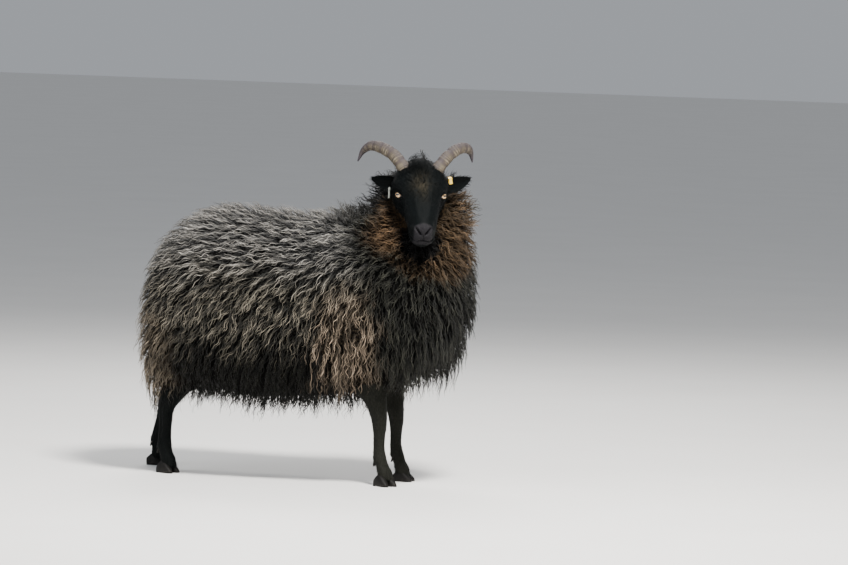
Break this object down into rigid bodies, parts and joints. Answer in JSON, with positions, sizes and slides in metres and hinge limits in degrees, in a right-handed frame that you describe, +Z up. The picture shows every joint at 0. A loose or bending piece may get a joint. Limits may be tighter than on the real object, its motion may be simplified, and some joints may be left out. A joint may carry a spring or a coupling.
{
  "type": "sheep, standing horned ewe",
  "caption": "Life-size still model of a small dark horned ewe in full fleece, standing with the head turned to the right.",
  "frame": {"origin": "on the floor, below the middle of the box round the whole animal", "axes": "+X forward along the body, +Y to the ewe's left, +Z up; the hooves stand on Z = 0"},
  "size_m": [0.7861, 0.4114, 0.7347],
  "materials": {
    "fleece": "long, loose, wavy dark grey-brown wool, silvery on the back, black on belly and chest, red-brown round the face",
    "short_hair": "short flat black hair with a slight gloss on the face and legs",
    "horn": "grey-brown ringed horn, darker along the outer edge",
    "hoof": "dull black horn of the hoof",
    "eye": "glossy amber eye with a dark level bar pupil",
    "yellow_tag": "plain satin yellow plastic",
    "pale_tag": "plain satin pale grey plastic"
  },
  "bodies": {
    "root": {"trunk": "fleece", "neck": "fleece", "head": "short_hair", "tail": "fleece", "ear_left": "short_hair", "ear_right": "short_hair", "eye_left": "eye", "eye_right": "eye", "horn_left": "horn", "horn_right": "horn", "ear_tag_left": "yellow_tag", "ear_tag_right": "pale_tag", "front_leg_left": "short_hair", "front_leg_right": "short_hair", "hind_leg_left": "short_hair", "hind_leg_right": "short_hair", "front_claw_left_left": "hoof", "front_claw_left_right": "hoof", "front_claw_right_left": "hoof", "front_claw_right_right": "hoof", "hind_claw_left_left": "hoof", "hind_claw_left_right": "hoof", "hind_claw_right_left": "hoof", "hind_claw_right_right": "hoof"}
  },
  "joints": []
}
